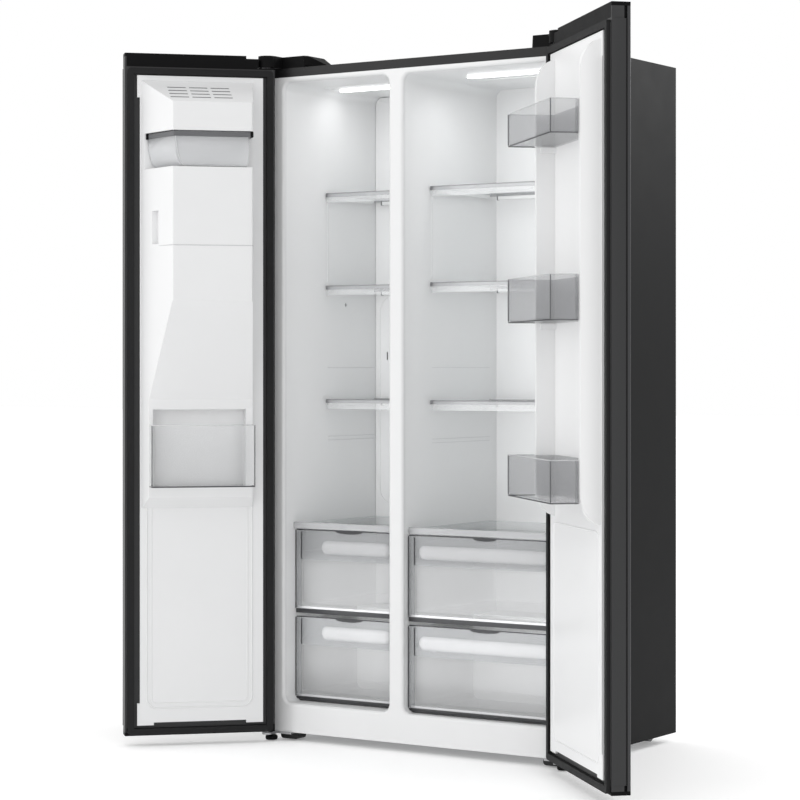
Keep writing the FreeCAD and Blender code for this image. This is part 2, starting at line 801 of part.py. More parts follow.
def ice_housing(door):
    """The housing's upper part, open across the middle where the ice bucket slides in."""
    side = [
        ("liner_plate", "housing_seam"),
        ("housing_depth", "housing_seam"),
        ("housing_depth", "housing_face_top"),
        ("liner_plate", "housing_top"),
    ]
    lump = housing(door, "ice_housing", "housing_seam", "housing_top", side)
    slot = box(door.across("0", "freezer_liner_reach + 9"), (deep("bucket_back"), deep("199")),
               ("bucket_low", "bucket_high + 3"))
    chute = rod("z", (door.run("niche_middle"), deep("chute_depth"), "housing_seam - 9"), "chute_radius",
                "bucket_low - housing_seam + 18")
    grips = [
        box(door.across(f"{flank('60')} - 12", f"{flank('60')} + 40"), (deep("55"), deep("85")),
            ("housing_seam + 5", "housing_seam + 90"))
    ]
    air = [
        box(door.across(f"{left}", f"{left} + 48"), (deep(f"{depth}"), deep(f"{depth} + 7")),
            ("housing_face_top - 14", "housing_top + 9"))
        for left in (129, 185, 241)
        for depth in (47, 69, 91, 113)
    ]
    door.keep("ice_housing", cut(lump, slot, chute, *grips, *air))


def ice_bucket(door):
    """The clear bucket, its floor narrower than its mouth, and the grey rim that it is pulled out by."""
    wall, back = "bucket_sheet", "bucket_back + 1"
    near = "housing_hinge_run - 2"

    def plan(inset, drawn):
        front = f"housing_depth - 2 - ({inset})"
        rear = f"{back} + ({inset})"
        return [
            (door.run(f"{flank(rear)} - 4 - ({inset}) - ({drawn})"), deep(rear)),
            (door.run(f"{flank(front)} - 4 - ({inset}) - ({drawn})"), deep(front)),
            (door.run(f"{near} + ({inset}) + ({drawn})"), deep(front)),
            (door.run(f"{near} + ({inset}) + ({drawn})"), deep(rear)),
        ]

    height = "bucket_high - bucket_low - 12"
    outer = prism("bucket_outer", "XY_Plane", plan("0", "8"), height, "bucket_low + 0.5")
    inner = prism("bucket_inner", "XY_Plane", plan(wall, "8"), height, f"bucket_low + 0.5 + {wall}")
    outlet = rod("z", (door.run("niche_middle"), deep("chute_depth + 18"), "bucket_low - 9"), "14", "30")
    door.keep("ice_bucket", cut(outer, inner, outlet))
    rim = prism("rim_outer", "XY_Plane", plan("0", "0"), "11.5", "bucket_high - 11.5")
    hole = prism("rim_inner", "XY_Plane", plan("9", "6"), "30", "bucket_high - 20")
    door.keep("ice_bucket_rim", cut(rim, hole))


def dispenser(door):
    window = niche_block(door, "0.3", out("door_core + door_skin"))
    hollow = niche_block(door, "3")
    chute = rod("z", (door.run("niche_middle"), deep("chute_depth"), "niche_high - 9"), "chute_radius - 1", "30")
    lugs = [
        box(door.across(*(f"niche_middle {side} (paddle_width / 2 + {gap})" for gap in (1, 9))),
            (deep("paddle_deep - 6"), deep("niche_depth - 2")), ("paddle_pivot - 7", "paddle_pivot + 7"))
        for side in ("-", "+")
    ]
    pin = rod("x", (door.run("niche_middle - paddle_width / 2 - 5"), deep("paddle_deep"), "paddle_pivot"),
              "3", "paddle_width + 10")
    door.keep("dispenser_recess", fuse(cut(window, hollow, chute), *lugs, pin))
    half = "niche_width / 2 + panel_margin"
    plate = box(door.across(f"niche_middle - ({half})", f"niche_middle + ({half})"),
                (out("door_core + door_skin"), out("door_core + door_skin + panel_sheet_front")),
                ("niche_low - panel_margin", "panel_high"))
    eased = rounded(plate, 10, along("y"))
    door.keep("dispenser_panel", cut(eased, niche_block(door, "2")))
    leaf = box(door.across("niche_middle - paddle_width / 2", "niche_middle + paddle_width / 2"),
               (deep("paddle_deep - 3"), deep("paddle_deep + 3")), ("paddle_pivot - paddle_drop", "paddle_pivot"))
    barrel = rod("x", (door.run("niche_middle - paddle_width / 2"), deep("paddle_deep"), "paddle_pivot"), "6.5",
                 "paddle_width")
    bore = rod("x", (door.run("niche_middle - paddle_width"), deep("paddle_deep"), "paddle_pivot"),
               "3 + pin_fit", "paddle_width * 2")
    door.keep("dispenser_paddle", cut(fuse(leaf, barrel), bore))
    tray = box(door.across("niche_middle - niche_width / 2 + 6", "niche_middle + niche_width / 2 - 6"),
               (out("door_core"), deep("niche_depth - 6")), ("niche_low + 3.4", "niche_low + 20"))
    well = box(door.across("niche_middle - niche_width / 2 + 10", "niche_middle + niche_width / 2 - 10"),
               (out("door_core - 4"), deep("niche_depth - 10")), ("niche_low + 6", "niche_low + 29"))
    door.keep("drip_tray", cut(tray, well))


def freezer_door():
    door = Door("freezer", -1, "freezer_door_width", "freezer_liner_reach", "freezer_door_turn")
    niche = [niche_block(door, "0")]
    door_core(door, niche, blocks_round_niche(door))
    door_skin(door, [niche_block(door, "0")])
    door_caps(door)
    door_seal(door)
    dispenser_housing(door)
    ice_housing(door)
    ice_bucket(door)
    dispenser(door)
    bin_tray(door, "freezer_door_bin", "housing_hinge_run + 5", f"{flank('housing_shelf_depth')} - 13",
             (deep("liner_plate + 3"), deep("door_bin_front")), ("door_bin_low", "door_bin_high"),
             "housing_shelf_depth", ("door_bin_near_wing", "door_bin_far_wing"))


def fridge_door():
    door = Door("fridge", 1, "fridge_door_width", "fridge_liner_reach", "fridge_door_turn")
    door_core(door)
    door_skin(door)
    door_caps(door)
    door_seal(door)
    fridge_liner(door)
    fridge_bins(door)


# ------------------------------------------------------------------------------------- hinges, feet and rollers


def mirrored(build):
    """Both sides of something that is the same left and right: the builder gets the side's sign."""
    return group([build(side) for side in ("-1", "1")])


def side_span(side, near, far):
    """Two positions across the cabinet, counted inwards from its side."""
    return f"{side} * ({HALF} - ({near}))", f"{side} * ({HALF} - ({far}))"


def top_hinge(side):
    x = f"{side} * ({HALF} - hinge_inset)"
    level = ("cabinet_top", "cabinet_top + hinge_plate")
    base = box(side_span(side, "0.5", "104"), ("8", "80"), level)
    arm = box(side_span(side, "2", "34"), ("-hinge_forward", "20"), level)
    nose = rod("z", (x, "-hinge_forward", level[0]), "15", "hinge_plate")
    pin_length = "cabinet_top + hinge_plate - cap_seat + 16"
    pin = rod("z", (x, "-hinge_forward", "cap_seat - 16"), "hinge_pin", pin_length)
    return fuse(base, arm, nose, pin)


def bottom_hinge(side):
    x = f"{side} * ({HALF} - hinge_inset)"
    level = ("16", "cabinet_base")
    plate = box(side_span(side, "1", "75"), ("-6", "60"), level)
    arm = box(side_span(side, "3", "31"), ("-hinge_forward", "0"), level)
    nose = rod("z", (x, "-hinge_forward", level[0]), "14", "cabinet_base - 16")
    pin = rod("z", (x, "-hinge_forward", level[0]), "hinge_pin", "27")
    hole = rod("z", foot_place(side) + ("0",), "foot_stem + pin_fit", "99")
    return cut(fuse(plate, arm, nose, pin), hole)


def foot_place(side):
    return f"{side} * ({HALF} - 16)", "-12"


def hinge_cover(side):
    """The cap over a top hinge, rounded about the pivot at its front, slanting and sloping down at its inner end."""
    x = f"{side} * ({HALF} - hinge_inset)"
    top, low = "hinge_cover_high", "cabinet_top"
    plan = [(f"{side} * {HALF}", "2"), (f"{side} * ({HALF} - 110)", "2"), (f"{side} * ({HALF} - 150)", "66"),
            (f"{side} * ({HALF} - 150)", "85"), (f"{side} * {HALF}", "85")]
    body = prism("cover_plan", "XY_Plane", plan, f"{top} - {low}", low)
    slope = [(f"{side} * {HALF}", low), (f"{side} * {HALF}", top), (f"{side} * ({HALF} - 116)", top),
             (f"{side} * ({HALF} - 151)", f"{low} + 4"), (f"{side} * ({HALF} - 151)", low)]
    height = prism("cover_slope", "XZ_Plane", slope, "200", "-100")
    neck = box(side_span(side, "0", "42"), ("-hinge_forward", "10"), (low, top))
    nose = rod("z", (x, "-hinge_forward", low), "24", f"{top} - {low}")
    trim = box(side_span(side, "0", "300"), ("-99", "99"), (low, top))
    shell = common(fuse(common(body, height), neck, nose), trim)
    under = "hinge_plate + cabinet_top + 0.5"
    room = [
        box(side_span(side, "-9", "122"), ("4.5", "82"), ("0", under)),
        box(side_span(side, "-9", "36"), ("-hinge_forward", "12"), ("0", under)),
        rod("z", (x, "-hinge_forward", "cabinet_top - 9"), "17", "hinge_plate + 9.5"),
        box(side_span(side, "6", "108"), ("8", "79"), ("0", f"{top} - 3")),
    ]
    return cut(shell, *room)


def foot(name, side):
    """A screw foot: a ribbed disc with a stem that turns in the lower hinge."""
    profile = [("0", "0"), ("foot_radius - 2", "0"), ("foot_radius", "3"), ("foot_radius", "foot_height - 3"),
               ("foot_radius - 3", "foot_height"), ("foot_stem", "foot_height"), ("foot_stem", "cabinet_base - 0.5"),
               ("0", "cabinet_base - 0.5")]
    x, y = foot_place(side)
    body = turned(name + "_body", profile, FreeCAD.Placement())
    move(body, x, y, "0")
    keep(name, body)


def roller(name, side):
    """A rear roller: a tyre with a running bore on its axle."""
    near, far = side_span(side, "46", "46 + roller_width")
    start = (f"min({near}; {far})", "rear_roller_back", "rear_roller")
    tyre = rod("x", start, "rear_roller", "roller_width")
    bore = rod("x", (f"min({near}; {far}) - 9", "rear_roller_back", "rear_roller"), "axle_radius + pin_fit",
               "roller_width + 18")
    keep(name, cut(tyre, bore))


def roller_brackets(side):
    """The rear roller's fork and axle, and the fixed skid under the cabinet's front."""
    depths = ("rear_roller_back - 22", "rear_roller_back + 22")
    outer = box(side_span(side, "40", "43"), depths, ("rear_roller - 8", "machine_floor"))
    inner = box(side_span(side, "49 + roller_width", "52 + roller_width"),
                ("rear_roller_back - 22", "rear_roller_back + 22"), ("rear_roller - 8", "machine_floor"))
    near, far = side_span(side, "40", "52 + roller_width")
    axle = rod("x", (f"min({near}; {far})", "rear_roller_back", "rear_roller"), "axle_radius", "12 + roller_width")
    block = box(side_span(side, "30", "86"), ("10", "46"), ("2", "16"))
    skid = rounded(block, 9, lambda bounds, whole: bounds.ZMax < whole.ZMin + 0.01 and bounds.YLength > 9)
    return group([fuse(outer, inner, axle), skid])


def hinges_and_feet():
    keep("top_hinges", mirrored(top_hinge))
    keep("bottom_hinges", mirrored(bottom_hinge))
    keep("hinge_covers", mirrored(hinge_cover))
    keep("roller_brackets", mirrored(roller_brackets))
    for end, side in (("left", "-1"), ("right", "1")):
        foot(f"levelling_foot_{end}", side)
        roller(f"rear_roller_{end}", side)


# -------------------------------------------------------------------------------------- the cooling machinery


def compressor():
    """A sealed motor-compressor: a turned shell on a footed plate."""
    profile = [("0", "9"), ("70", "9"), ("78", "24"), ("82", "60"), ("82", "110"), ("74", "150"), ("50", "178"),
               ("0", "186")]
    shell = turned("compressor_shell", profile, FreeCAD.Placement())
    plate = box(("-95", "95"), ("-60", "60"), ("0", "10"))
    stub = rod("x", ("60", "0", "140"), "5", "45")
    joined = fuse(shell, plate, stub)
    move(joined, "compressor_middle", "machine_middle", "machine_floor + panel_sheet")
    keep("compressor", joined)


def condenser():
    """Upright fins on a tube that snakes through them."""
    low, high = "machine_floor + panel_sheet", "machine_top - 45"
    depths = ("machine_middle - 55", "machine_middle + 55")
    fins = [box((f"150 + {k * 16}", f"152 + {k * 16}"), depths, (low, high)) for k in range(14)]
    tubes = [
        rod("x", ("140", f"machine_middle + {y}", f"machine_floor + {z}"), "5", "226")
        for y in (-30, 30)
        for z in (40, 90, 140, 190)
    ]
    keep("condenser", fuse(*fins, *tubes))


def evaporator():
    """The cold coil behind the freezer's duct panel."""
    fins = [box((f"-385 + {k * 18}", f"-383 + {k * 18}"), ("436", "480"), ("1000", "1280")) for k in range(16)]
    tubes = [rod("x", ("-390", f"{y}", f"{z}"), "5", "282") for y in (447, 469) for z in range(1030, 1261, 46)]
    keep("evaporator", fuse(*fins, *tubes))


def fan(name, axis, centre, radius, thick):
    """Blades set aslant on a hub, with a running bore through it."""
    hub = rod(axis, tuple(centre), "14", f"{thick}")
    blades = []
    for k in range(5):
        blade = doc.addObject("Part::Box", "Blade")
        bind(blade, Length=f"{radius} - 10", Width="2", Height=f"{thick} - 2")
        aslant = FreeCAD.Rotation(FreeCAD.Vector(1, 0, 0), 28)
        spread = FreeCAD.Rotation(FreeCAD.Vector(0, 0, 1), 72 * k)
        reach = FreeCAD.Placement(FreeCAD.Vector(10, 2, 1), aslant)
        whole = FreeCAD.Placement(FreeCAD.Vector(*centre), AXES[axis].multiply(spread))
        blade.Placement = whole.multiply(reach)
        blades.append(blade)
    start = dict(zip("xyz", centre))
    start[axis] -= 9
    bore = rod(axis, tuple(start.values()), "2.5 + pin_fit", f"{thick} + 18")
    keep(name, cut(fuse(hub, *blades), bore))


def fans():
    """The evaporator's and the condenser's fans, and the two motors whose shafts they turn on."""
    freezer_fan, machine_fan = (-243, 446, 1400), (20, 460, 140)
    fan("evaporator_fan", "y", freezer_fan, 55, 14)
    fan("condenser_fan", "x", machine_fan, 65, 16)
    x, y, z = freezer_fan
    cold = fuse(rod("y", (x, y + 17, z), "22", "18"), rod("y", (x, y - 2, z), "2.5", "30"))
    x, y, z = machine_fan
    post = box((f"{x - 30}", f"{x - 8}"), (f"{y - 12}", f"{y + 12}"), ("machine_floor + panel_sheet", f"{z}"))
    warm = fuse(rod("x", (x - 34, y, z), "24", "30"), rod("x", (x - 10, y, z), "2.5", "28"), post)
    keep("fan_motors", group([cold, warm]))


# -------------------------------------------------------------------------------------------------- the build


def build():
    steel_panels()
    front_frame()
    liner("freezer_liner", FREEZER, "freezer_back", "freezer_shelf_front", "freezer_cover_front")
    liner("fridge_liner", FRIDGE, "fridge_back", "fridge_shelf_front", "fridge_cover_front")
    foam()
    ducts()
    shelves()
    light_bars()
    drawers()
    freezer_door()
    fridge_door()
    hinges_and_feet()
    compressor()
    condenser()
    evaporator()
    fans()


def faults():
    """Everything in the document that failed to build, and every part with no sound shape."""
    found = [f"{obj.Label}: {obj.State}" for obj in doc.Objects if {"Invalid", "Error"} & set(obj.State)]
    for name, obj in PARTS.items():
        if obj.Shape.isNull() or not obj.Shape.isValid():
            found.append(f"{name}: no valid shape")
    return found


build()
doc.recompute()
problems = faults()
if problems:
    sys.exit("\n".join(problems))
os.makedirs("parts", exist_ok=True)
for name, obj in PARTS.items():
    obj.Shape.exportStep(f"parts/{name}.step")
print(len(PARTS), "parts written")
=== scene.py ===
import json
import math

import bmesh
import bpy
from mathutils import Matrix, Vector


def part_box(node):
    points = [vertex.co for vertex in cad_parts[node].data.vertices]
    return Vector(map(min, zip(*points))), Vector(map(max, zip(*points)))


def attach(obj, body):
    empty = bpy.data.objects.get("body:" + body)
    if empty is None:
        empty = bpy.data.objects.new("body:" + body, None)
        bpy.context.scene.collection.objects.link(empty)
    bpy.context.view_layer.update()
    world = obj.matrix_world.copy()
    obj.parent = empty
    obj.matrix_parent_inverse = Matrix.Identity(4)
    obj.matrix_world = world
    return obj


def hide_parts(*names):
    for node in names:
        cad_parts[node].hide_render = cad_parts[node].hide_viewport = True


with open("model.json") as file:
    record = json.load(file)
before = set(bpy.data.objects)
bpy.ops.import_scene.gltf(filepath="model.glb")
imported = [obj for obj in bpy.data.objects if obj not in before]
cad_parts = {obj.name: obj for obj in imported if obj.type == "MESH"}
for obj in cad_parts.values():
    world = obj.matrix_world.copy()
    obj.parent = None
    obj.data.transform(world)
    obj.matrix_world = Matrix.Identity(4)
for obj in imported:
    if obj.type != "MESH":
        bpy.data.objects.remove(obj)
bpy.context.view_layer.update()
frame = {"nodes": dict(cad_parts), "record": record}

nodes = frame["nodes"]
record = frame["record"]
scene = bpy.context.scene
MM = 0.001

# ------------------------------------------------------------------------------------------------- materials

LOOKS = {}
CLOUD_RATIO = 60  # a surface's mottling is this many times coarser than its grain
GLOSS_SPREAD = 0.05
GRAIN_HEIGHT = 0.001


def noise(tree, vector, scale, detail):
    node = tree.nodes.new("ShaderNodeTexNoise")
    node.inputs["Scale"].default_value = scale
    node.inputs["Detail"].default_value = detail
    tree.links.new(vector, node.inputs["Vector"])
    return node.outputs["Fac"]


def crystals(tree, vector, scale):
    """The shades of the crystals in a zinc coating."""
    cells = tree.nodes.new("ShaderNodeTexVoronoi")
    cells.inputs["Scale"].default_value = scale
    tree.links.new(vector, cells.inputs["Vector"])
    tone = tree.nodes.new("ShaderNodeSeparateColor")
    tree.links.new(cells.outputs["Color"], tone.inputs["Color"])
    return tone.outputs["Red"]


def material(name, colour, rough, metal=0.0, grain=300.0, bump=0.02, tint=0.06, stretch=(1, 1, 1), spangle=0,
             **sockets):
    """Makes a look: a mottled colour, an uneven gloss and a fine grain; spangle gives it zinc crystals.

    Any other setting goes to the shader's socket of that name, with _ for a space.
    """
    mat = bpy.data.materials.new(name)
    mat.use_nodes = True
    tree = mat.node_tree
    shader = tree.nodes["Principled BSDF"]
    shader.inputs["Metallic"].default_value = metal
    for socket, setting in sockets.items():
        shader.inputs[socket.replace("_", " ")].default_value = setting
    coords = tree.nodes.new("ShaderNodeTexCoord")
    mapping = tree.nodes.new("ShaderNodeMapping")
    mapping.inputs["Scale"].default_value = stretch
    tree.links.new(coords.outputs["Object"], mapping.inputs["Vector"])
    vector = mapping.outputs["Vector"]

    if spangle:
        cloud = crystals(tree, vector, spangle)
    else:
        cloud = noise(tree, vector, grain / CLOUD_RATIO, 3.0)
    ramp = tree.nodes.new("ShaderNodeValToRGB")
    low, high = ramp.color_ramp.elements
    low.position, high.position = 0.3, 0.7
    low.color = (*[c * (1 - tint) for c in colour], 1)
    high.color = (*[min(1, c * (1 + tint)) for c in colour], 1)
    tree.links.new(cloud, ramp.inputs["Fac"])
    tree.links.new(ramp.outputs["Color"], shader.inputs["Base Color"])
    gloss = tree.nodes.new("ShaderNodeMapRange")
    gloss.inputs["To Min"].default_value = max(0.02, rough - GLOSS_SPREAD)
    gloss.inputs["To Max"].default_value = rough + GLOSS_SPREAD
    tree.links.new(cloud, gloss.inputs["Value"])
    tree.links.new(gloss.outputs["Result"], shader.inputs["Roughness"])
    relief = tree.nodes.new("ShaderNodeBump")
    relief.inputs["Strength"].default_value = bump
    relief.inputs["Distance"].default_value = GRAIN_HEIGHT
    tree.links.new(noise(tree, vector, grain, 4.0), relief.inputs["Height"])
    tree.links.new(relief.outputs["Normal"], shader.inputs["Normal"])
    LOOKS[name] = mat
    return mat


def part_looks():
    """The looks of the record's material slots, by their names."""
    material("charcoal_paint", (0.0085, 0.0087, 0.0091), 0.5, grain=900, bump=0.06, Specular_IOR_Level=0.06)
    material("door_skin", (0.055, 0.0555, 0.058), 0.34, metal=0.85, grain=520, bump=0.05,
             stretch=(1, 1, 0.03))
    material("door_frame", (0.026, 0.0262, 0.027), 0.5, grain=1200, bump=0.08, Specular_IOR_Level=0.34)
    material("white_panel", (0.75, 0.753, 0.756), 0.36, grain=700, bump=0.04, tint=0.008)
    material("white_liner", (0.82, 0.823, 0.826), 0.3, grain=240, bump=0.04, tint=0.01)
    material("light_housing", (0.75, 0.753, 0.757), 0.34, grain=260, bump=0.05, tint=0.01)
    material("black_plastic", (0.004, 0.004, 0.0043), 0.55, grain=1400, bump=0.12, Specular_IOR_Level=0.08)
    material("grey_plastic", (0.11, 0.112, 0.118), 0.4, grain=1200, bump=0.08)
    material("foam", (0.6, 0.52, 0.33), 0.8, grain=400, bump=0.4)
    material("clear_plastic", (0.9, 0.91, 0.92), 0.1, grain=200, tint=0.02, Alpha=0.14)
    material("smoked_plastic", (0.38, 0.385, 0.4), 0.12, grain=200, tint=0.03, Alpha=0.24)
    material("glass", (0.66, 0.74, 0.75), 0.05, grain=90, bump=0.01, tint=0.02, Alpha=0.2)
    material("seal", (0.012, 0.012, 0.0125), 0.65, grain=1500, bump=0.15, Specular_IOR_Level=0.2)
    material("steel", (0.42, 0.42, 0.43), 0.35, metal=1.0, grain=900, bump=0.08)
    material("galvanised", (0.34, 0.348, 0.356), 0.42, metal=0.75, grain=600, bump=0.05, tint=0.05,
             spangle=150)
    material("aluminium", (0.7, 0.7, 0.71), 0.3, metal=1.0, grain=800, bump=0.06)
    material("black_metal", (0.008, 0.008, 0.0085), 0.45, grain=900, bump=0.08, Specular_IOR_Level=0.35)
    material("light", (0.95, 0.95, 0.95), 0.4, grain=500, tint=0.005,
             Emission_Color=(1, 1, 1, 1), Emission_Strength=5.0)


def trim_looks():
    """The looks of the trims and lines that are added here."""
    material("frosted", (0.78, 0.785, 0.795), 0.4, grain=600, bump=0.1, tint=0.02, Alpha=0.5)
    material("pull", (0.74, 0.745, 0.755), 0.35, grain=600, bump=0.06, tint=0.02, Alpha=0.36)
    # veil also tints the drawers' side bands, where it is painted shade
    material("veil", (0.4, 0.41, 0.42), 0.4, grain=600, bump=0.1, tint=0.03, Alpha=0.26)
    material("edge_line", (0.055, 0.056, 0.06), 0.3, grain=500, bump=0.04, Alpha=0.85)
    # dark_edge is mostly painted shade: the strips under the drawers, their side lines and the finger scoops
    material("dark_edge", (0.03, 0.0305, 0.033), 0.3, grain=500, bump=0.04, Alpha=0.92)
    material("shelf_line", (0.2, 0.202, 0.21), 0.3, grain=500, bump=0.04, Alpha=0.8)
    # pale_line also paints the highlight on the drawers' floor edges
    material("pale_line", (0.5, 0.505, 0.515), 0.4, grain=500, bump=0.04, tint=0.03)
    material("wall_bead_shade", (0.68, 0.685, 0.69), 0.4, grain=500, bump=0.04, tint=0.02)
    material("bucket", (0.86, 0.87, 0.885), 0.12, grain=240, bump=0.05, tint=0.02, Alpha=0.4)
    material("apron", (0.74, 0.75, 0.76), 0.2, grain=400, bump=0.03, tint=0.02, Alpha=0.28)
    material("shelf_trim", (0.5, 0.505, 0.515), 0.25, grain=800, bump=0.05, tint=0.03, Alpha=0.5)
    material("edge_trim", (0.03, 0.0303, 0.0312), 0.32, metal=0.5, grain=700, bump=0.05, stretch=(1, 1, 0.05))
    material("display", (0.004, 0.004, 0.005), 0.12, grain=60, bump=0.01)


def dress_nodes():
    """Gives every CAD node the look of its slot; the shelves' trims have one of their own."""
    special = {"shelf_trims": "shelf_trim"}
    for part in record["subparts"]:
        mesh = nodes[part["node"]].data
        mesh.materials.clear()
        mesh.materials.append(LOOKS[special.get(part["node"], part["material_slot"])])


def eased(names, width, segments=2):
    """Rounds the sharp edges of CAD nodes a little, so that they catch the light."""
    for name in names:
        bevel = nodes[name].modifiers.new("eased", "BEVEL")
        bevel.width = width * MM
        bevel.segments = segments
        bevel.limit_method = "ANGLE"
        bevel.angle_limit = math.radians(50)


part_looks()
trim_looks()
dress_nodes()
eased(["side_panels", "top_panel", "top_band", "machine_room_cover"], 0.8)
eased(["freezer_door_skin", "fridge_door_skin", "freezer_door_caps", "fridge_door_caps"], 1.6, 3)
eased(["dispenser_panel", "ice_bucket_rim", "hinge_covers"], 0.8)

# ---------------------------------------------------------------------------------------------------- pieces
# Pieces are drawn in millimetres. A piece has the record's slot, the body that it rides on, the place that its
# own directions start from (the CAD frame, if none is given) and a look, if it isn't the slot's.


def settle(name, data, slot, body, look):
    data.materials.append(LOOKS[look or slot])
    obj = bpy.data.objects.new(name, data)
    scene.collection.objects.link(obj)
    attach(obj, body)
    return obj


def piece(name, bm, slot, body, place=None, look=None):
    """Turns a bmesh into a piece."""
    bmesh.ops.scale(bm, vec=(MM, MM, MM), verts=bm.verts[:])
    if place:
        bmesh.ops.transform(bm, matrix=place, verts=bm.verts[:])
    bmesh.ops.recalc_face_normals(bm, faces=bm.faces[:])
    mesh = bpy.data.meshes.new(name)
    bm.to_mesh(mesh)
    bm.free()
    mesh.shade_smooth()
    mesh.set_sharp_from_angle(angle=math.radians(35))
    return settle(name, mesh, slot, body, look)


def prism(bm, outline, shift):
    """Adds a closed outline, drawn out by a shift."""
    face = bm.faces.new([bm.verts.new(point) for point in outline])
    moved = bmesh.ops.extrude_face_region(bm, geom=[face])["geom"]
    verts = [item for item in moved if isinstance(item, bmesh.types.BMVert)]
    bmesh.ops.translate(bm, vec=shift, verts=verts)


def loft(bm, rings, lid=True):
    """Adds a skin over rings of points, closed at the first ring and, with a lid, at the last."""
    rings = [[bm.verts.new(point) for point in ring] for ring in rings]
    for lower, upper in zip(rings, rings[1:]):
        for k in range(len(lower)):
            after = (k + 1) % len(lower)
            bm.faces.new((lower[k], lower[after], upper[after], upper[k]))
    bm.faces.new(rings[0])
    if lid:
        bm.faces.new(rings[-1])


def blocks(name, spans, slot, body, place=None, look=None, ease=0.8):
    """One piece made of eased blocks, each given as its three (low, high) spans."""
    bm = bmesh.new()
    for sides in spans:
        for vert in bmesh.ops.create_cube(bm, size=1.0)["verts"]:
            vert.co = [low + (high - low) * (c + 0.5) for c, (low, high) in zip(vert.co, sides)]
    bmesh.ops.bevel(bm, geom=bm.edges[:], offset=ease, segments=2, affect="EDGES", profile=0.6)
    return piece(name, bm, slot, body, place, look)


def lines(name, paths, radius, slot, body, place=None, look=None, closed=False):
    """One piece of round beads that follow paths of (x, y, z) points."""
    curve = bpy.data.curves.new(name, "CURVE")
    curve.dimensions = "3D"
    curve.bevel_depth = radius * MM
    curve.bevel_resolution = 2
    curve.use_fill_caps = True
    for path in paths:
        spline = curve.splines.new("POLY")
        spline.points.add(len(path) - 1)
        spline.use_cyclic_u = closed
        for point, spot in zip(spline.points, path):
            at = Vector(spot) * MM
            point.co = (*(place @ at if place else at), 1)
    return settle(name, curve, slot, body, look)


def discs(name, centres, axis, radius, height, slot, body, place=None, look=None):
    """One piece of low domed discs, such as screw heads or buttons."""
    bm = bmesh.new()
    turn = Vector(axis).to_track_quat("Z", "Y").to_matrix().to_4x4()
    sides = 20
    dome = ((1.0, 0.0), (1.0, 0.5), (0.8, 0.85), (0.4, 1.0))
    angles = [math.tau * k / sides for k in range(sides)]
    for centre in centres:
        rings = [[turn @ Vector((radius * share * math.cos(a), radius * share * math.sin(a), height * up))
                  + Vector(centre) for a in angles] for share, up in dome]
        loft(bm, rings)
    return piece(name, bm, slot, body, place, look)


def rounded_loop(u, v, radius, steps=6):
    """Points round a rectangle with rounded corners."""
    corners = [(u[1] - radius, v[1] - radius, 0), (u[0] + radius, v[1] - radius, 90),
               (u[0] + radius, v[0] + radius, 180), (u[1] - radius, v[0] + radius, 270)]
    loop = []
    for cu, cv, start in corners:
        for step in range(steps + 1):
            angle = math.radians(start + 90 * step / steps)
            loop.append((cu + radius * math.cos(angle), cv + radius * math.sin(angle)))
    return loop


def span(name, axis):
    """A node's reach along an axis of the CAD frame."""
    low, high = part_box(name)
    return low[axis] / MM, high[axis] / MM


# ------------------------------------------------------------------------------------------------ door space
# A door's own directions: its run from the hinge side, its depth from the inner face into the cabinet, and z.

JOINTS = {joint["name"]: joint for joint in record["behaviour"]["joints"]}
HALF = span("side_panels", 0)[1]
DOOR_GAP = 12.3  # from a closed door's inner face to the cabinet's front
LINER_FACE = 5.8  # where a bead on a door liner's plate runs, half sunk


def door_space(joint, side):
    """Maps a door's own directions to the place of the open door."""
    hinge = JOINTS[joint]
    pivot = Vector((*hinge["pos_m"][:2], 0))
    turn = -math.radians(hinge["range_deg"][0]) * hinge["axis"][2]
    closed = Matrix(((-side, 0, 0, side * HALF * MM), (0, 1, 0, -DOOR_GAP * MM), (0, 0, 1, 0), (0, 0, 0, 1)))
    return Matrix.Translation(pivot) @ Matrix.Rotation(turn, 4, "Z") @ Matrix.Translation(-pivot) @ closed


LEFT = door_space("freezer_door_hinge", -1)
RIGHT = door_space("fridge_door_hinge", 1)


def reach(name, axis, place):
    """A node's reach along one of its door's own directions."""
    back = place.inverted()
    values = [(back @ vert.co)[axis] / MM for vert in nodes[name].data.vertices]
    return min(values), max(values)


# --------------------------------------------------------------------------------------------------- cabinet

LEVELS = [span(f"fridge_shelf_{k}", 2)[1] for k in (1, 2, 3)]
SHELF_FRONTS = {room: span(f"{room}_shelf_1", 1)[0] - 3 for room in ("freezer", "fridge")}
SHELF_BACK = span("fridge_shelf_1", 1)[1]


def shelf_details():
    """A clear apron under each shelf's front, caps on its trim's ends, and the rail and hook behind."""
    for room, front in SHELF_FRONTS.items():
        left, right = span(f"{room}_shelf_1", 0)
        aprons, caps, rails, edges = [], [], [], []
        for level in LEVELS:
            aprons.append(((left + 3, right - 3), (front + 1, front + 3.5), (level - 24, level - 8)))
            for x in (left + 0.5, right - 7.5):
                caps.append(((x, x + 7), (front - 1, front + 12), (level - 8, level + 2.4)))
            rails.append(((left + 24, right - 24), (SHELF_BACK - 6, SHELF_BACK + 3), (level - 17, level - 5)))
            caps.append(((left + 23, left + 27), (SHELF_BACK - 7, SHELF_BACK + 3.5), (level - 18, level - 3)))
            edges.append([(x, front + 0.5, level + 1.2) for x in (left + 3, right - 3)])
        blocks(f"{room}_shelf_aprons", aprons, "clear_plastic", "cabinet", look="apron")
        blocks(f"{room}_shelf_caps", caps, "grey_plastic", "cabinet", look="shelf_line", ease=1.2)
        blocks(f"{room}_shelf_rails", rails, "white_liner", "cabinet", ease=1.2)
        lines(f"{room}_shelf_edges", edges, 1.0, "grey_plastic", "cabinet", look="shelf_line")


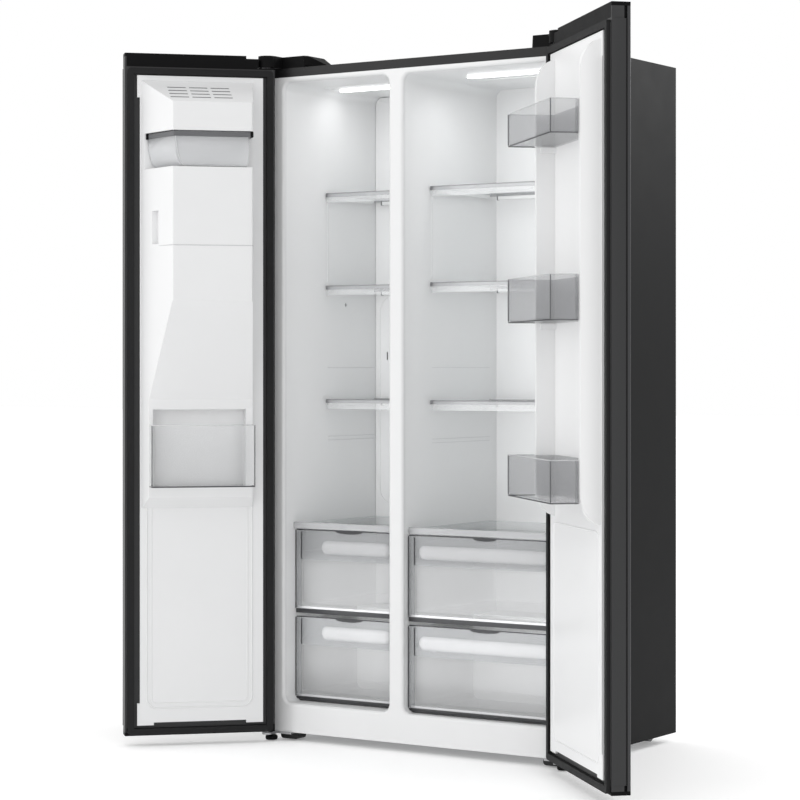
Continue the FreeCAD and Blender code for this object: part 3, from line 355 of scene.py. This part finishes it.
def wall_details():
    """The faint beads pressed into the side walls: one upright along the shelves' fronts, and three ribs. They
    are drawn a little darker than the wall, as painted shade along the beads.
    """
    walls = {"freezer": (-407.6, -79.6), "fridge": (-35.2, 407.6)}
    for room, sides in walls.items():
        start = SHELF_FRONTS[room] + 14
        uprights = [[(x, start, LEVELS[0] - 16), (x, start, LEVELS[1] + 12)] for x in sides]
        ribs = [[(x, start, z), (x, SHELF_BACK, z)] for x in sides for z in (975, 790, 780)]
        lines(f"{room}_wall_uprights", uprights, 0.9, "white_liner", "cabinet", look="wall_bead_shade")
        lines(f"{room}_wall_ribs", ribs, 0.8, "white_liner", "cabinet", look="wall_bead_shade")


def freezer_cover_details():
    """The bead on the freezer's rear cover, dark beads for its slots as painted shade in the openings, and the
    cross-shaped sensor mark on each side wall.
    """
    (left, right), (face, _) = (span("freezer_duct_panel", axis) for axis in (0, 1))
    cover = [(x, face - 0.4, z) for x, z in rounded_loop((left + 14, right - 16), (600, 1172), 42, 8)]
    lines("freezer_cover_bead", [cover], 1.6, "white_liner", "cabinet", closed=True)
    # painted shade: dark beads stand for the shaded inside of the slots
    slots = [[(x, face - 0.6, z) for z in (996, 1018)] for x in (left + 39, right - 40)]
    lines("freezer_cover_slots", slots, 1.6, "grey_plastic", "cabinet", look="edge_line")
    y, z, arm = 285, 1145, 5
    marks = []
    for x in (-407.7, -79.4):
        marks.append([(x, y - arm, z), (x, y + arm, z)])
        marks.append([(x, y, z - arm), (x, y, z + arm)])
    lines("freezer_wall_sensor", marks, 0.8, "grey_plastic", "cabinet", look="edge_line")


def light_details():
    """The bezel round each ceiling light."""
    (front, back), (_, ceiling) = (span("light_bars", axis) for axis in (1, 2))
    for room, ends in {"freezer": (-385, -101), "fridge": (65, 308)}.items():
        loop = [(x, y, ceiling - 0.6) for x, y in rounded_loop(ends, (front - 1, back + 1), 9)]
        lines(f"{room}_light_bezel", [loop], 1.2, "white_liner", "cabinet", closed=True)


# --------------------------------------------------------------------------------------------------- drawers

PULL_HEIGHT = 36
# how far the pull's foot lies below the drawer's top, half the finger scoop's width, how far the pull starts
# from the drawer's side, and how far the dark edge, painted shadow of the gap under the drawer, hangs below
# the front plate
DRAWERS = {
    "freezer_upper_drawer": (63, 42, 84, 9),
    "freezer_lower_drawer": (58, 42, 84, 4.5),
    "fridge_upper_drawer": (61, 34, 33, 9),
    "fridge_lower_drawer": (62, 44, 33, 4.5),
}


def drawer_shadows():
    """A dark strip on the floor of each compartment, under the lower drawer's front: painted shadow of the gap
    beneath the drawer.
    """
    for room in ("freezer", "fridge"):
        (left, right), (front, _), (low, _) = (span(f"{room}_lower_drawer", axis) for axis in range(3))
        # painted shadow: a dark strip on the floor where the gap under the drawer lies in shade
        sill = ((left + 3, right - 3), (front + 1, front + 5), (low - 9, low - 5.2))
        blocks(f"{room}_drawer_shadow", [sill], "grey_plastic", "cabinet", look="dark_edge", ease=0.6)


def drawer_pull(name, across, front, heights):
    """The pillow-shaped bar that the drawer is pulled by."""
    bm = bmesh.new()
    corner = 17
    rings = []
    for proud, inset in ((0.2, 0), (3, 1), (6, 4), (8, 9), (8.8, 14)):
        loop = rounded_loop((across[0] + inset, across[1] - inset), (heights[0] + inset, heights[1] - inset),
                            corner - inset)
        rings.append([(x, front - proud, z) for x, z in loop])
    loft(bm, rings)
    piece(f"{name}_pull", bm, "clear_plastic", name, look="pull")


def drawer_scoop_shade(name, middle, half, front, top):
    """The dark lens of the finger scoop in the drawer's upper edge, painted shade of the notch: 2 mm up, 6 mm
    down.
    """
    bm = bmesh.new()
    angles = [math.pi * (k - 8) / 8 for k in range(16)]
    lens = [(middle + half * math.cos(a), front - 1, top - (6 if a > 0 else 2) * math.sin(a)) for a in angles]
    prism(bm, lens, (0, -1.2, 0))
    piece(f"{name}_scoop", bm, "grey_plastic", name, look="dark_edge")


def drawer_details(name, pull_drop, scoop_half, pull_inset, shadow_drop):
    """The pull on its translucent band; the smoked side bands and their dark lines, painted shade beside the
    drawer's side flanges; the pale floor edge, its paleness a painted highlight; a dark strip below the front,
    painted shadow of the gap under the drawer; and the dark top edge.
    """
    (left, right), (front, _), (low, high) = (span(name, axis) for axis in range(3))
    foot = high - pull_drop
    face = front - 0.2
    drawer_pull(name, (left + pull_inset, right - 24), front, (foot, foot + PULL_HEIGHT))
    blocks(f"{name}_veil", [((left + 20, right - 20), (front - 1.4, face), (foot - 16, high - 1))],
           "clear_plastic", name, look="veil", ease=0.4)
    # painted shade: smoked side bands with dark lines stand for the shadow beside the drawer's side flanges
    strips, ends = [], []
    for outer, inward in ((left, 1), (right, -1)):
        inner = outer + 19 * inward
        strips.append((sorted((outer + 0.6 * inward, inner)), (front - 2.2, face), (low + 4, high - 2)))
        ends.append([(outer + inward, front - 1.6, z) for z in (low + 3, high - 2)])
        ends.append([(inner, front - 2, z) for z in (foot - 14, high - 6)])
    blocks(f"{name}_strips", strips, "smoked_plastic", name, look="veil", ease=0.6)
    lines(f"{name}_corners", ends, 1.5, "grey_plastic", name, look="dark_edge")
    # painted highlight: the clear floor plate's edge is drawn as a pale strip where it catches the light
    blocks(f"{name}_floor_edge_highlight", [((left + 8, right - 2), (front - 1.2, face), (low + 3.5, low + 9))],
           "clear_plastic", name, look="pale_line", ease=0.4)
    # painted shadow: a dark strip hanging below the front plate for the shaded gap under the drawer
    base = ((left + 1, right - 1), (front - 1.4, front + 6), (low - shadow_drop, low + 2.4))
    blocks(f"{name}_base_shadow", [base], "grey_plastic", name, look="dark_edge", ease=1.2)
    drawer_scoop_shade(name, (left + right) / 2 + 8, scoop_half, front, high - 2)
    rim = [(x, front + 1, high - 1) for x in (left + 2, right - 2)]
    lines(f"{name}_top_edge", [rim], 1.6, "grey_plastic", name, look="dark_edge")


# ----------------------------------------------------------------------------------------------------- doors


def bin_details(name, place, back):
    """The thick lip round a bin's mouth, from a depth to its front, and the dark edges of its front."""
    (near, far), (_, front), (low, high) = (reach(name, axis, place) for axis in range(3))
    lip = [(near + 1.4, back, high), (near + 1.4, front - 1.4, high), (far - 1.4, front - 1.4, high),
           (far - 1.4, back, high)]
    lines(f"{name}_lip", [lip], 1.3, "clear_plastic", name, place, look="frosted")
    near, far, face, floor = near + 1.7, far - 1.7, front - 1.7, low + 1.7
    foot = [(near, back, floor), (near, front - 4, floor), (near + 2.3, face, floor),
            (far - 2.3, face, floor), (far, front - 4, floor), (far, back, floor)]
    posts = [[(s, face, low + 4), (s, face, high - 1)] for s in (near, far)]
    lines(f"{name}_edges", [foot, *posts], 1.6, "smoked_plastic", name, place, look="edge_line")


def panel_bead(name, across, heights, corner, radius, slot, body, place):
    """A bead round the pressed panel at the foot of a door's liner."""
    path = [(s, LINER_FACE, z) for s, z in rounded_loop(across, heights, corner)]
    lines(name, [path], radius, slot, body, place, closed=True)


def freezer_door_details():
    body = "freezer_door"
    for inset, radius in ((0, 2.4), (12, 1.6)):
        panel_bead(f"freezer_panel_bead_{inset}", (62 + inset, 336 - inset), (96 + inset, 640), 26 - inset,
                   radius, "light_housing", body, LEFT)
    base, depth = reach("ice_housing", 2, LEFT)[0], reach("ice_housing", 1, LEFT)[1]
    seam = [(346, 12, base), (288.5, depth - 1, base), (283, depth + 0.2, base), (87, depth + 0.2, base),
            (81.5, depth - 1, base), (62, 12, base)]
    lines("housing_seam_line", [seam], 0.8, "grey_plastic", body, LEFT, look="pale_line")
    housing_vent_shadow_slats(depth)
    knobs = [((80.5, 88), (137, 144.5), (1560, 1575)), ((333, 341), (24, 33), (1560, 1575))]
    blocks("bucket_rim_knobs", knobs, "black_plastic", "ice_bucket", LEFT, ease=2)
    ice_bucket_shell()
    bin_details("freezer_door_bin", LEFT, 46)


def housing_vent_shadow_slats(housing_depth):
    """Grey slats in the vent slots of the housing's sloping roof, flush with it, in three columns: painted
    shade that darkens the slots.
    """
    face_top, slope = 1649, 0.4748
    slat, thick, width = 6, 3, 46.8
    for column, left in enumerate((129, 185, 241)):
        bm = bmesh.new()
        for row in (47, 69, 91, 113):
            near, far = row + 0.5, row + 0.5 + slat
            top, foot = (face_top + (housing_depth - depth) * slope - 0.4 for depth in (near, far))
            start = left + 0.6
            prism(bm, [(start, near, top), (start, far, foot), (start, far, foot - thick),
                       (start, near, top - thick)], (width, 0, 0))
        bmesh.ops.bevel(bm, geom=bm.edges[:], offset=0.2, segments=2, affect="EDGES", profile=0.5)
        piece(f"housing_vent_shadow_slats_{column}", bm, "grey_plastic", body="freezer_door", place=LEFT)


def ice_bucket_shell():
    """The clear bucket: its free side draws in towards the floor, and its front corners are cut off."""
    wall = 25
    rings = []
    for height, drawn in ((1485.2, 30), (1487.5, 22), (1496, 14), (1512, 8), (1534, 4), (1561, 1)):
        lean = drawn * 0.3
        rings.append([(89 + lean, wall, height), (338.5 - drawn, wall, height),
                      (286 - drawn * 0.9, 138, height), (280 - drawn, 142.4 - lean, height),
                      (94 + lean, 142.4 - lean, height), (89 + lean, 137.5, height)])
    bm = bmesh.new()
    loft(bm, rings, lid=False)
    shell = piece("ice_bucket_shell", bm, "clear_plastic", "ice_bucket", LEFT, look="bucket")
    sheet = shell.modifiers.new("sheet", "SOLIDIFY")
    sheet.thickness = 2.4 * MM
    sheet.offset = -1
    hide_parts("ice_bucket")
    upper = rings[1:]
    lines("ice_bucket_sill", [upper[0]], 1.2, "clear_plastic", "ice_bucket", LEFT, look="pale_line",
          closed=True)
    corners = [[ring[k] for ring in upper] for k in (3, 1)]
    lines("ice_bucket_corners", corners, 1.0, "clear_plastic", "ice_bucket", LEFT, look="pale_line")


def fridge_door_details():
    panel_bead("fridge_panel_bead", (62, 438), (84, 604), 24, 2.2, "white_liner", "fridge_door", RIGHT)
    for name in ("upper", "middle", "lower"):
        bin_details(f"fridge_{name}_bin", RIGHT, 54)


def frame_lines():
    """The thin lit lines where each door's frame is folded, beside its hinge and its free edge."""
    for room, place in (("freezer", LEFT), ("fridge", RIGHT)):
        width = reach(f"{room}_door_skin", 0, place)[1]
        folds = [[(s, 0.2, z) for z in (60, 1740)] for s in (5, width - 6)]
        lines(f"{room}_frame_folds", folds, 1.2, "door_frame", f"{room}_door", place, look="edge_trim")


def edge_details(door, place):
    """The softly crowned trim along a door's free edge, and a dark bead in the seam between it and the door's
    skin: painted shade of the groove there.
    """
    width = reach(f"{door}_skin", 0, place)[1]
    start, depth, rise, steps = 1.5, 33, 2.2, 10
    crown = [(width + rise * math.sin(math.pi * k / steps), -start - depth * k / steps, 47)
             for k in range(steps + 1)]
    bm = bmesh.new()
    prism(bm, crown, (0, 0, 1702))
    piece(f"{door}_crown", bm, "door_frame", door, place, look="edge_trim")
    # painted shade: a black bead where the groove between trim and skin lies in shade
    lines(f"{door}_crown_seam_shade", [[(width + 0.6, -36, z) for z in (48, 1748)]], 1.5, "seal", door, place)


def dispenser_details():
    """The blank display and its ring, five keys, and the bars of the drip tray's grid."""
    body = "freezer_door"
    front = reach("dispenser_panel", 1, LEFT)[0] - 0.6
    middle = sum(reach("dispenser_panel", 0, LEFT)) / 2
    display, heights = (middle - 50, middle + 50), (1322, 1384)
    blocks("dispenser_display", [(display, (front, front + 1), heights)], "black_plastic", body, LEFT,
           look="display", ease=0.4)
    ring = [(s, front - 0.2, z) for s, z in rounded_loop(display, heights, 6)]
    lines("dispenser_display_ring", [ring], 0.8, "grey_plastic", body, LEFT, closed=True)
    keys = [(middle + 36 * k, front + 0.8, 1285) for k in range(-2, 3)]
    discs("dispenser_keys", keys, (0, -1, 0), 9, 1.6, "grey_plastic", body, LEFT)
    top = reach("drip_tray", 2, LEFT)[1] + 0.5
    grid = [[(s, -31, top), (s, 36, top)] for s in range(112, 288, 12)]
    lines("drip_grid", grid, 1.4, "grey_plastic", "drip_tray", LEFT)


# ---------------------------------------------------------------------------------------------- back and top


def back_details():
    """The back sheet with its pressed beads, its screws, and the screws of the hinge covers."""
    (left, right), (inner, outer), (low, high) = (span("back_panel", axis) for axis in range(3))
    face = outer - 1.3
    whole = ((left, right), (inner, face), (low, high))
    sheet = blocks("back_sheet", [whole], "galvanised", "cabinet", ease=0.4)
    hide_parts("back_panel")
    half, height, corner, pitch = 390, 150, 40, 230
    beads = []
    for foot in range(360, 1700, pitch):
        for inset in (0, 11):
            loop = rounded_loop((inset - half, half - inset), (foot + inset, foot + height - inset),
                                corner - inset)
            beads.append([(x, face, z) for x, z in loop])
    lines("back_sheet_beads", beads, 1.2, "galvanised", "cabinet", closed=True)
    hems = [[(x, face, z) for z in (low + 6, high - 6)] for x in (left + 8, right - 8)]
    hems += [[(x, face, z) for x in (left + 8, right - 8)] for z in (low + 6, high - 6)]
    lines("back_sheet_hems", hems, 1.2, "galvanised", "cabinet")
    screws = [(x, face, z) for z in (330, 690, 1050, 1410, 1730) for x in (left + 24, right - 24)]
    discs("back_screws", screws, (0, 1, 0), 5, 1.2, "steel", "cabinet")
    cover_top = span("hinge_covers", 2)[1] - 1.4
    tops = [(side * x, y, cover_top) for side in (-1, 1) for x, y in ((425, 52), (400, 30))]
    discs("cover_screws", tops, (0, 0, 1), 4, 1.2, "steel", "cabinet")


# ----------------------------------------------------------------------------------------- camera and lights
# These, and the floor, are in metres.


def camera():
    data = bpy.data.cameras.new("camera")
    data.lens, data.sensor_width = 108.94, 36
    data.shift_x, data.shift_y = 0.012, -0.039
    data.clip_end = 100
    obj = bpy.data.objects.new("camera", data)
    obj.location = (3.33675, -5.12961, 0.97147)
    obj.rotation_euler = (math.radians(90), 0, math.radians(33.61))
    scene.collection.objects.link(obj)
    scene.camera = obj


def area(name, place, aim, size, power, tall=None, glossy=False, spread=180):
    """A soft light that the camera doesn't see, and that shows in reflections only if it is glossy."""
    data = bpy.data.lights.new(name, "AREA")
    data.shape = "RECTANGLE"
    data.size, data.size_y = size, tall or size
    data.energy = power
    data.spread = math.radians(spread)
    obj = bpy.data.objects.new(name, data)
    obj.location = place
    obj.rotation_euler = (Vector(aim) - Vector(place)).to_track_quat("-Z", "Y").to_euler()
    obj.visible_camera = False
    obj.visible_glossy = glossy
    scene.collection.objects.link(obj)


def studio_lights():
    """An even white surround, with a key light, a fill from the left and a rim light from behind."""
    world = bpy.data.worlds.new("studio")
    scene.world = world
    world.use_nodes = True
    background = world.node_tree.nodes["Background"]
    background.inputs["Color"].default_value = (1, 1, 1, 1)
    background.inputs["Strength"].default_value = 1.0
    middle = (0, 0, 0.9)
    area("key", (2.2, -4.2, 3.2), middle, 2.4, 10, glossy=True)
    area("fill", (-3.2, -3.4, 2.0), middle, 2.4, 34, glossy=True)
    area("rim", (2.0, 3.0, 2.6), (0.455, 0.3, 1.7), 1.4, 40, glossy=True)


def room_lights():
    """The glow of the ceiling lights, and soft light through the openings on the walls and the drawers."""
    freezer, fridge = -0.243, 0.186
    area("freezer_light", (freezer, 0.2, 1.70), (freezer, 0.2, 0), 0.24, 0.16, 0.08)
    area("fridge_light", (fridge, 0.16, 1.70), (fridge, 0.2, 0), 0.24, 0.26, 0.08)
    area("freezer_fill", (freezer, -0.02, 0.92), (freezer, 0.4, 0.92), 0.28, 0.75, 1.5, spread=80)
    area("fridge_fill", (fridge, -0.02, 0.92), (fridge, 0.4, 0.92), 0.4, 1.05, 1.5, spread=80)
    area("freezer_drawer_fill", (freezer, -0.02, 0.3), (freezer, 0.4, 0.24), 0.28, 0.19, 0.36, spread=70)
    area("fridge_drawer_fill", (fridge, -0.02, 0.3), (fridge, 0.4, 0.24), 0.4, 0.28, 0.36, spread=70)


def pale_floor():
    bpy.ops.mesh.primitive_plane_add(size=80, location=(0, 0, -0.002))
    floor = bpy.context.object
    floor.name = "floor"
    floor.data.materials.append(material("floor", (0.93, 0.93, 0.93), 0.8, grain=40, bump=0.01, tint=0.004,
                                         Specular_IOR_Level=0.1, Emission_Color=(1, 1, 1, 1),
                                         Emission_Strength=0.2))


shelf_details()
wall_details()
freezer_cover_details()
light_details()
drawer_shadows()
for drawer, sizes in DRAWERS.items():
    drawer_details(drawer, *sizes)
freezer_door_details()
fridge_door_details()
frame_lines()
edge_details("freezer_door", LEFT)
edge_details("fridge_door", RIGHT)
dispenser_details()
back_details()
camera()
studio_lights()
room_lights()
pale_floor()
scene.view_settings.view_transform = "Standard"
